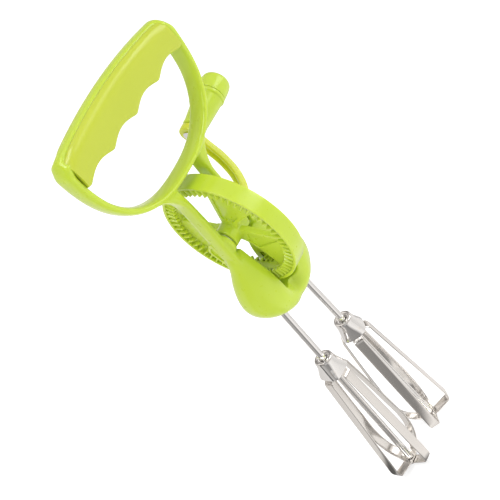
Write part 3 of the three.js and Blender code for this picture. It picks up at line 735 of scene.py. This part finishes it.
def wing_cap():
    """A pressed steel ferrule: a round rolled collar above that flares to four square corners below."""
    wall = 0.8
    outside = [(2.35, 2, CAP_TOP - 2.2), (2.5, 2, CAP_TOP - 1.0), (3.1, 2, CAP_TOP - 0.25), (4.0, 2, CAP_TOP),
               (4.9, 2, CAP_TOP - 0.15), (5.4, 2, CAP_TOP - 0.8), (5.55, 2, -95.4), (5.7, 2.1, -97.2),
               (6.05, 2.4, -99.4), (6.6, 2.9, -101.6), (7.15, 3.4, -103.8), (7.35, 3.6, CAP_BOTTOM)]
    inside = [(7.35 - wall, 3.6, CAP_BOTTOM), (7.1 - wall, 3.4, -103.9), (6.6 - wall, 2.9, -101.7),
              (6.05 - wall, 2.4, -99.6), (5.7 - wall, 2.1, -97.6), (4.6, 2, -95.8), (3.4, 2, CAP_TOP - 2.6)]
    return loft("ferrule", [square_ring(*ring) for ring in outside + inside], closed=True)


WING_TOP = [(4.2, -100.4), (5.1, -104.8), (8.6, WING_SHOULDER)]
BENT_WING = [(WING_RADIUS - 0.3, WING_CORNER + 1.6), (WING_RADIUS - 1.2, WING_CORNER - 1.9)]
CURVED_WING = [(8.6, WING_SHOULDER), (10.2, -123), (11.8, -140), (12.9, -154), (13.9, -166), (14, -173),
               (13.1, -179.5), (10.9, -185), (7.6, -189.3), (3.2, BEATER_BOTTOM)]


def wing_path(bottom):
    """A strip's line: one wing runs down to a bent corner, the other comes round in one long bend."""
    end = (3.2, bottom)
    bend = [tuple(p) for p in spline(CURVED_WING, 45)[1:-2]]
    curved = round_corners([*WING_TOP, bend[0]], 1.2, 6)[:-1] + bend + [end, (0, bottom)]
    bent = round_corners([(0, bottom), end, *BENT_WING[::-1], *WING_TOP[::-1]], 1.4, 6)
    return np.array(curved + [(-x, z) for x, z in bent[1:]])


def wing_strip(bottom, turn):
    """A bent band with rounded edges, drilled at its middle for the shaft."""
    path = wing_path(bottom)
    step = np.diff(path, axis=0)
    step /= np.linalg.norm(step, axis=1)[:, None]
    way = np.concatenate([step[:1], step[1:] + step[:-1], step[-1:]])
    way /= np.linalg.norm(way, axis=1)[:, None]
    thick, wide = super_ellipse(WING_THICKNESS / 2, WING_HALF_WIDTH, 5, 20)
    rings = []
    for (x, z), (dx, dz) in zip(path, way):
        rings.append([(x - dz * t, w, z + dx * t) for t, w in zip(thick, wide)])
    strip = loft("strip", rings)
    cut(strip, bar("shaft_hole", 2.2, bottom - 3, bottom + 3, "z", 32))
    return moved(strip, Matrix.Rotation(turn, 4, "Z"))


def beater(side, name):
    body = "beater_" + name
    lower = BEATER_BOTTOM - WING_THICKNESS - 0.3
    shaft_end = lower - WING_THICKNESS
    phase = 0 if side < 0 else FAR_BEATER_TURN
    rod = [(0, shaft_end), (SHAFT_RADIUS, shaft_end), (SHAFT_RADIUS, SHAFT_TOP - 0.4),
           (SHAFT_RADIUS - 0.4, SHAFT_TOP), (0, SHAFT_TOP)]
    shaft = lathe("rod", rod, "z", 96, 0.1)
    seat = shaft_end - 0.3
    head = [(0, shaft_end - 2.2), (1.8, shaft_end - 1.9), (3, shaft_end - 1), (3, seat), (0, seat)]
    rivet = lathe("rivet", head, "z", 64, 0.3)
    cap = moved(wing_cap(), Matrix.Rotation(phase, 4, "Z"))
    pinion = pinion_blank()
    clip = washer("clip", 3.7, 2.25, "z", -35.6, -34.7)
    strip_a = wing_strip(BEATER_BOTTOM, phase)
    strip_b = wing_strip(lower, phase + math.pi / 2)
    bush = washer("bush", 3.8, 2.1, "z", -50.6, -42.5)
    made = [
        (shaft, STEEL, body, "steel", "shaft_", "polished_shaft_"),
        (pinion, LIME, body, "lime_plastic", "pinion_", "toothed_pinion_"),
        (clip, STEEL, body, "steel", "retaining_clip_", "ring_clip_"),
        (cap, STEEL, body, "steel", "wing_cap_", "flared_cap_"),
        (strip_a, STRIP_STEEL, body, "steel", "wing_strip_a_", "upper_wings_"),
        (strip_b, STRIP_STEEL, body, "steel", "wing_strip_b_", "lower_wings_"),
        (rivet, STEEL, body, "steel", "end_rivet_", "domed_rivet_"),
        (bush, NYLON, "frame", "nylon", "shaft_bush_", "bearing_bush_"),
    ]
    for thing, material, rides, slot, node, piece in made:
        moved(thing, shaft_frame(side))
        thing.name = piece + name
        finish_piece(thing, material, rides, slot, node + name)


beater(-1, "near")
beater(1, "far")


# ---------------------------------------------------------------- floor and light
# Each lamp's name, place in metres, size and power
LAMPS = [
    ("key", (-0.3, -0.2, 1.3), 1.0, 8.5),
    ("fill", (-1.0, -0.9, 0.1), 0.9, 0.6),
    ("side", (1.1, -0.8, 0.4), 0.9, 4.5),
]
LAMP_AIM = (0, 0, -0.1)
WORLD, FLOOR_GLOW, FLOOR_GAP, FLOOR_REACH = 0.64, 0.5, 0.0005, 3.0
# Brightness by compass direction, from due -X round through -Y, +X and +Y and back
BANDS = [
    (0.0, 0.5), (0.06, 0.34), (0.1, 0.3), (0.14, 0.26), (0.17, 0.7), (0.2, 1.0), (0.3, 0.9), (0.34, 0.76),
    (0.5, 0.9), (0.545, 0.85), (0.555, 0.25), (0.57, 0.8), (0.6, 0.8), (0.61, 0.25), (0.63, 0.85),
    (0.7, 1.0), (0.8, 0.75), (0.84, 0.72), (0.92, 0.78), (0.935, 0.12), (0.96, 0.12), (0.975, 0.6),
    (1.0, 0.5),
]
# The same by height, from straight down at 0 to straight up at 1: dark cards hung above the object
CARDS = [
    (0.0, 1.0), (0.52, 1.0), (0.54, 0.3), (0.58, 0.35), (0.6, 1.0), (0.64, 1.0), (0.66, 0.2), (0.7, 0.25),
    (0.72, 0.95), (0.76, 0.95), (0.78, 0.2), (0.83, 0.3), (0.85, 1.0), (1.0, 1.0),
]
# The small soft boxes that only gloss shows: direction, cosines of the outer and inner edge, brightness
GLINTS = [((-0.763, -0.181, 0.625), 0.982, 0.995, 2.4), ((0.423, -0.742, 0.521), 0.95, 0.988, 1.8)]


def grey_ramp(tree, value, greys):
    ramp = tree.nodes.new("ShaderNodeValToRGB")
    tree.links.new(value, ramp.inputs["Fac"])
    stops = ramp.color_ramp.elements
    for place, grey in greys[1:-1]:
        stops.new(place)
    for stop, (place, grey) in zip(stops, greys):
        stop.position = place
        stop.color = (grey, 0.97 * grey, 0.94 * grey, 1)
    return ramp.outputs["Color"]


def studio_bands(tree, vector):
    """What polished steel mirrors round the object: soft boxes and dark gaps, by compass direction."""
    split = tree.nodes.new("ShaderNodeSeparateXYZ")
    tree.links.new(vector, split.inputs["Vector"])
    angle = tree.nodes.new("ShaderNodeMath")
    angle.operation = "ARCTAN2"
    tree.links.new(split.outputs["Y"], angle.inputs[0])
    tree.links.new(split.outputs["X"], angle.inputs[1])
    share = tree.nodes.new("ShaderNodeMapRange")
    share.inputs["From Min"].default_value = -math.pi
    share.inputs["From Max"].default_value = math.pi
    tree.links.new(angle.outputs["Value"], share.inputs["Value"])
    return grey_ramp(tree, share.outputs["Result"], BANDS)


def with_cards(tree, vector, bands):
    """The bands darkened by the cards, by height."""
    split = tree.nodes.new("ShaderNodeSeparateXYZ")
    tree.links.new(vector, split.inputs["Vector"])
    share = tree.nodes.new("ShaderNodeMapRange")
    share.inputs["From Min"].default_value = -1
    tree.links.new(split.outputs["Z"], share.inputs["Value"])
    product = tree.nodes.new("ShaderNodeVectorMath")
    product.operation = "MULTIPLY"
    tree.links.new(bands, product.inputs[0])
    tree.links.new(grey_ramp(tree, share.outputs["Result"], CARDS), product.inputs[1])
    return product.outputs["Vector"]


def with_glints(tree, vector, bands):
    """The bands with each small soft box added where the direction comes close to its own."""
    colour = bands
    for way, far, near, bright in GLINTS:
        dot = tree.nodes.new("ShaderNodeVectorMath")
        dot.operation = "DOT_PRODUCT"
        dot.inputs[1].default_value = way
        tree.links.new(vector, dot.inputs[0])
        spot = tree.nodes.new("ShaderNodeMapRange")
        spot.interpolation_type = "SMOOTHSTEP"
        spot.inputs["From Min"].default_value = far
        spot.inputs["From Max"].default_value = near
        spot.inputs["To Max"].default_value = bright
        tree.links.new(dot.outputs["Value"], spot.inputs["Value"])
        lit = tree.nodes.new("ShaderNodeVectorMath")
        tree.links.new(colour, lit.inputs[0])
        tree.links.new(spot.outputs["Result"], lit.inputs[1])
        colour = lit.outputs["Vector"]
    return colour


def area_light(name, place, size, power):
    data = bpy.data.lights.new(name, "AREA")
    data.shape, data.size, data.energy = "DISK", size, power
    lamp = bpy.data.objects.new(name, data)
    bpy.context.scene.collection.objects.link(lamp)
    lamp.location = place
    lamp.rotation_euler = (Vector(LAMP_AIM) - Vector(place)).to_track_quat("-Z", "Y").to_euler()


def mirrored_only(tree, plain, bands):
    """The plain colour, except to a mirroring ray, which sees the bands."""
    rays = tree.nodes.new("ShaderNodeLightPath")
    mix = tree.nodes.new("ShaderNodeMix")
    mix.data_type = "RGBA"
    mix.inputs["A"].default_value = plain
    tree.links.new(rays.outputs["Is Glossy Ray"], mix.inputs["Factor"])
    tree.links.new(bands, mix.inputs["B"])
    return mix.outputs["Result"]


def studio_world():
    """Plain light for the matt surfaces, and the soft boxes for what mirrors them."""
    world = bpy.data.worlds.new("studio")
    world.use_nodes = True
    tree = world.node_tree
    background = tree.nodes["Background"]
    place = tree.nodes.new("ShaderNodeTexCoord").outputs["Generated"]
    mirrored = with_glints(tree, place, with_cards(tree, place, studio_bands(tree, place)))
    tree.links.new(mirrored_only(tree, (WORLD, WORLD, WORLD, 1), mirrored), background.inputs["Color"])
    bpy.context.scene.world = world


def paper_material():
    """White paper that glows a little, and that steel sees as the soft boxes' light."""
    paper = Nodes("paper")
    tree = paper.tree
    tone = paper.mix(paper.noise(3, 2), (0.86, 0.86, 0.86), (0.84, 0.84, 0.84))
    paper.link(tone, paper.shader.inputs["Base Color"])
    paper.set(Roughness=0.95, Specular_IOR_Level=0.1)
    paper.set(Emission_Strength=FLOOR_GLOW, Emission_Color=(1, 1, 1, 1))
    mirrored = tree.nodes.new("ShaderNodeEmission")
    paper.link(studio_bands(tree, paper.place), mirrored.inputs["Color"])
    rays = tree.nodes.new("ShaderNodeLightPath")
    mix = tree.nodes.new("ShaderNodeMixShader")
    paper.link(rays.outputs["Is Glossy Ray"], mix.inputs["Fac"])
    paper.link(paper.shader.outputs["BSDF"], mix.inputs[1])
    paper.link(mirrored.outputs["Emission"], mix.inputs[2])
    paper.link(mix.outputs["Shader"], tree.nodes["Material Output"].inputs["Surface"])
    return paper.material


def studio_floor():
    low, far = cad_box[0][2] - FLOOR_GAP, FLOOR_REACH
    corners = [(-far, -far, low), (far, -far, low), (far, far, low), (-far, far, low)]
    data = bpy.data.meshes.new("floor")
    data.from_pydata(corners, [], [(0, 1, 2, 3)])
    floor = bpy.data.objects.new("floor", data)
    bpy.context.scene.collection.objects.link(floor)
    data.materials.append(paper_material())


bpy.context.scene.view_settings.view_transform = "Standard"
studio_world()
studio_floor()
for lamp_setting in LAMPS:
    area_light(*lamp_setting)
